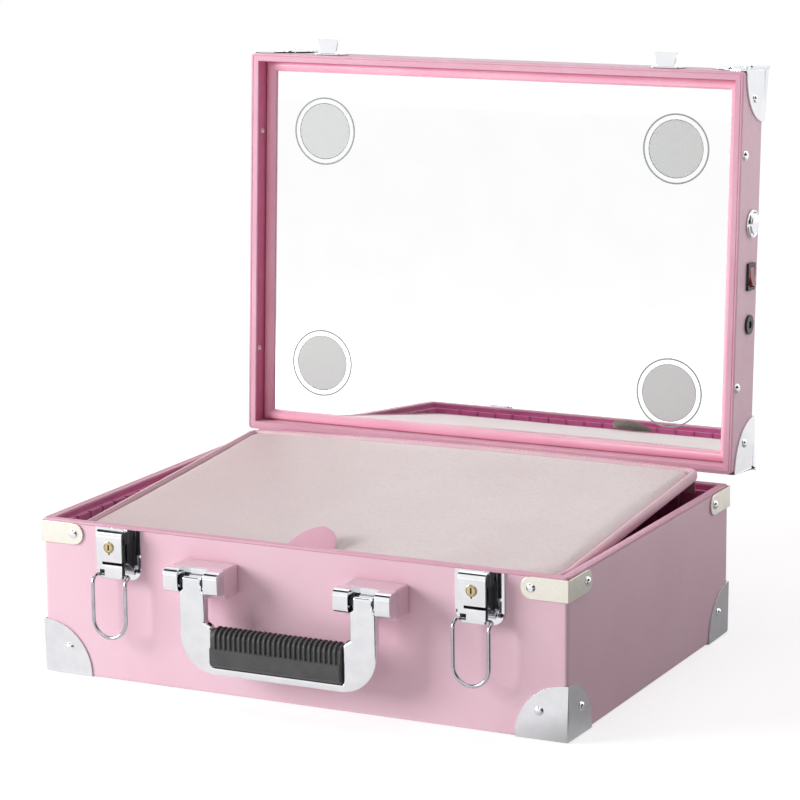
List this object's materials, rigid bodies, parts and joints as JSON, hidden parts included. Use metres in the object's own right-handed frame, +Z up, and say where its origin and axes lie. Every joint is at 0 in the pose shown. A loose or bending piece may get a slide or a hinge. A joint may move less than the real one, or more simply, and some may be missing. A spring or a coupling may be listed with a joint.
{
  "type": "makeup train case",
  "caption": "Pink box case with a hinged lighted-mirror lid, carrying handle, two loop latches, metal corners and a padded flap over divided storage; lid shown open.",
  "frame": {"origin": "middle of the case's flat underside, on the surface it stands on", "axes": "+Z up, -Y towards the front with the handle and latches, +X towards the side with the light controls"},
  "size_m": [0.4285, 0.4092, 0.4404],
  "materials": {
    "case_vinyl": "embossed linen-weave vinyl over board",
    "edging": "smooth vinyl edging",
    "liner": "matt flocked foam",
    "satin": "satin padded moulding",
    "flap": "padded leatherette",
    "board": "hardboard",
    "circuit": "white circuit board",
    "chrome": "polished plating",
    "nickel": "satin nickel plating",
    "brass": "turned",
    "mirror": "silvered glass",
    "frosted": "frosted diffuser",
    "black": "moulded",
    "red": "moulded",
    "rubber": "ribbed soft grip"
  },
  "bodies": {
    "base": {"base_shell": "case_vinyl", "base_rim": "edging", "floor_liner": "liner", "slotted_liner": "liner", "divider_long": "liner", "divider_cross_left": "liner", "divider_cross_right": "liner", "base_corner_front_left": "chrome", "base_corner_front_right": "chrome", "base_corner_back_left": "chrome", "base_corner_back_right": "chrome", "rim_bracket_front_left": "nickel", "rim_bracket_front_right": "nickel", "rim_bracket_back_left": "nickel", "rim_bracket_back_right": "nickel", "handle_mount_left": "case_vinyl", "handle_clevis_left": "chrome", "latch_plate_left": "chrome", "hinge_base_leaf_left": "nickel", "handle_mount_right": "case_vinyl", "handle_clevis_right": "chrome", "latch_plate_right": "chrome", "hinge_base_leaf_right": "nickel"},
    "lid": {"lid_shell": "case_vinyl", "lid_rim": "edging", "mirror_frame": "satin", "mirror_glass": "mirror", "mirror_backing": "board", "led_driver": "black", "dimmer_housing": "chrome", "switch_housing": "black", "dc_jack": "black", "lid_corner_front_left": "chrome", "lid_corner_front_right": "chrome", "lid_corner_back_left": "chrome", "lid_corner_back_right": "chrome", "light_diffuser_front_left": "frosted", "light_diffuser_front_right": "frosted", "light_diffuser_back_left": "frosted", "light_diffuser_back_right": "frosted", "led_board_front_left": "circuit", "led_board_front_right": "circuit", "led_board_back_left": "circuit", "led_board_back_right": "circuit", "latch_keeper_left": "chrome", "hinge_lid_leaf_left": "nickel", "latch_keeper_right": "chrome", "hinge_lid_leaf_right": "nickel"},
    "flap": {"flap": "flap", "pull_tab": "edging"},
    "handle": {"handle_bail": "chrome", "handle_grip": "rubber"},
    "dimmer": {"dimmer_knob": "chrome"},
    "rocker": {"switch_rocker": "red"},
    "lever_left": {"latch_lever_left": "chrome"},
    "lock_left": {"latch_lock_left": "brass"},
    "loop_left": {"latch_loop_left": "chrome"},
    "lever_right": {"latch_lever_right": "chrome"},
    "lock_right": {"latch_lock_right": "brass"},
    "loop_right": {"latch_loop_right": "chrome"}
  },
  "joints": [
    {"name": "lid_hinge", "type": "hinge", "parent": "base", "child": "lid", "pos_m": [0, 0.158, 0.1178], "axis": [1, 0, 0], "range_deg": [0, 93.2]},
    {"name": "flap_hinge", "type": "hinge", "parent": "base", "child": "flap", "pos_m": [0, 0.136, 0.12755], "axis": [1, 0, 0], "range_deg": [-85, 0]},
    {"name": "handle_swing", "type": "hinge", "parent": "base", "child": "handle", "pos_m": [0, -0.179, 0.0904], "axis": [-1, 0, 0], "range_deg": [0, 95]},
    {"name": "dimmer_turn", "type": "hinge", "parent": "lid", "child": "dimmer", "pos_m": [0.21, 0.19624, 0.31097], "axis": [1, 0, 0], "range_deg": [0, 270]},
    {"name": "rocker_tilt", "type": "hinge", "parent": "lid", "child": "rocker", "pos_m": [0.2098, 0.19398, 0.27053], "axis": [0, 0.9984, -0.0558], "range_deg": [0, 20]},
    {"name": "lever_left_lift", "type": "hinge", "parent": "base", "child": "lever_left", "pos_m": [-0.14455, -0.1605, 0.112], "axis": [-1, 0, 0], "range_deg": [0, 95]},
    {"name": "lock_left_turn", "type": "hinge", "parent": "lever_left", "child": "lock_left", "pos_m": [-0.14455, -0.168, 0.1045], "axis": [0, -1, 0], "range_deg": [0, 90]},
    {"name": "loop_left_swing", "type": "hinge", "parent": "lever_left", "child": "loop_left", "pos_m": [-0.14455, -0.163, 0.0825], "axis": [1, 0, 0], "range_deg": [-180, 8]},
    {"name": "lever_right_lift", "type": "hinge", "parent": "base", "child": "lever_right", "pos_m": [0.14455, -0.1605, 0.112], "axis": [-1, 0, 0], "range_deg": [0, 95]},
    {"name": "lock_right_turn", "type": "hinge", "parent": "lever_right", "child": "lock_right", "pos_m": [0.14455, -0.168, 0.1045], "axis": [0, -1, 0], "range_deg": [0, 90]},
    {"name": "loop_right_swing", "type": "hinge", "parent": "lever_right", "child": "loop_right", "pos_m": [0.14455, -0.163, 0.0825], "axis": [1, 0, 0], "range_deg": [-180, 8]}
  ]
}
